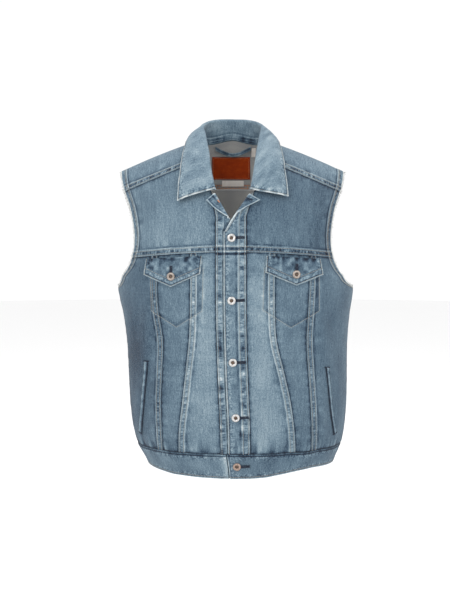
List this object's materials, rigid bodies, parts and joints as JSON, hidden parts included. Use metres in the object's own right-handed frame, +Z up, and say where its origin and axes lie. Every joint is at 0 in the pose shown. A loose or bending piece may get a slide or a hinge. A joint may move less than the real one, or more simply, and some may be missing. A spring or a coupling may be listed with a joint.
{
  "type": "sleeveless denim jacket (vest), filled out as worn",
  "caption": "Sleeveless denim jacket with frayed armholes, turned collar, buttoned placket, flapped chest pockets and hem band, filled out as if worn.",
  "frame": {"origin": "midpoint between the two points where shoulder meets neck, at their height", "axes": "+X to the right as the front is seen (the wearer's left), -Y out of the front, +Z up"},
  "size_m": [0.4974, 0.2465, 0.7487],
  "materials": {
    "denim": "washed denim twill, worn pale on the edges",
    "raw_cotton": "raw frayed cotton",
    "button_metal": "satin nickel",
    "copper": "aged copper",
    "leather": "tan leather, plain",
    "label": "plain woven label"
  },
  "bodies": {
    "root": {"back_yoke": "denim", "back_centre": "denim", "back_side_l": "denim", "back_side_r": "denim", "front_yoke_l": "denim", "front_yoke_r": "denim", "front_centre_l": "denim", "front_centre_r": "denim", "front_mid_l": "denim", "front_mid_r": "denim", "front_side_l": "denim", "front_side_r": "denim", "placket_l": "denim", "placket_r": "denim", "hem_band_l": "denim", "hem_band_r": "denim", "hem_band_back": "denim", "collar": "denim", "flap_l": "denim", "flap_r": "denim", "welt_l": "denim", "welt_r": "denim", "hanger_loop": "denim", "armhole_edge_l": "raw_cotton", "armhole_edge_r": "raw_cotton", "button_1": "button_metal", "button_2": "button_metal", "button_3": "button_metal", "button_4": "button_metal", "flap_button_l": "button_metal", "flap_button_r": "button_metal", "button_5": "copper", "neck_patch": "leather", "wash_label": "label", "size_label": "label"}
  },
  "joints": []
}
